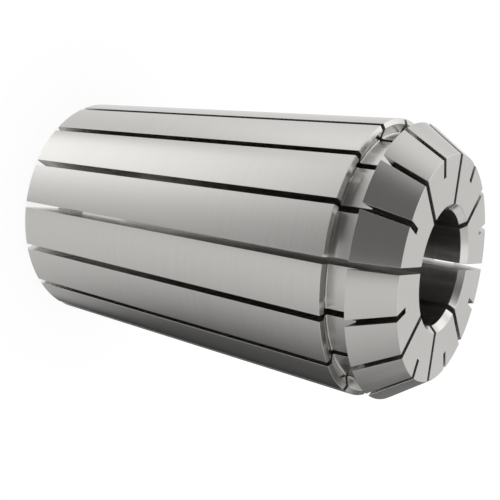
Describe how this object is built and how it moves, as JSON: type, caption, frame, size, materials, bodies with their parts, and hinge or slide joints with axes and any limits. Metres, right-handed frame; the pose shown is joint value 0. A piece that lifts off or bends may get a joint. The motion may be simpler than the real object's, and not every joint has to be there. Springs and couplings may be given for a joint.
{
  "type": "spring collet",
  "caption": "Tapered spring collet with alternating saw slots, an extraction groove, a steep nose cone and a plain bore that grips a round shank.",
  "frame": {"origin": "centre of the rear face, at the small end of the taper, on which the collet stands", "axes": "+Z along the bore's axis to the front face; +X through the middle of one of the slots that are long at the front"},
  "size_m": [0.0254, 0.0254, 0.04],
  "materials": {
    "ground_steel": "fine ground satin"
  },
  "bodies": {
    "root": {"collet": "ground_steel"}
  },
  "joints": []
}
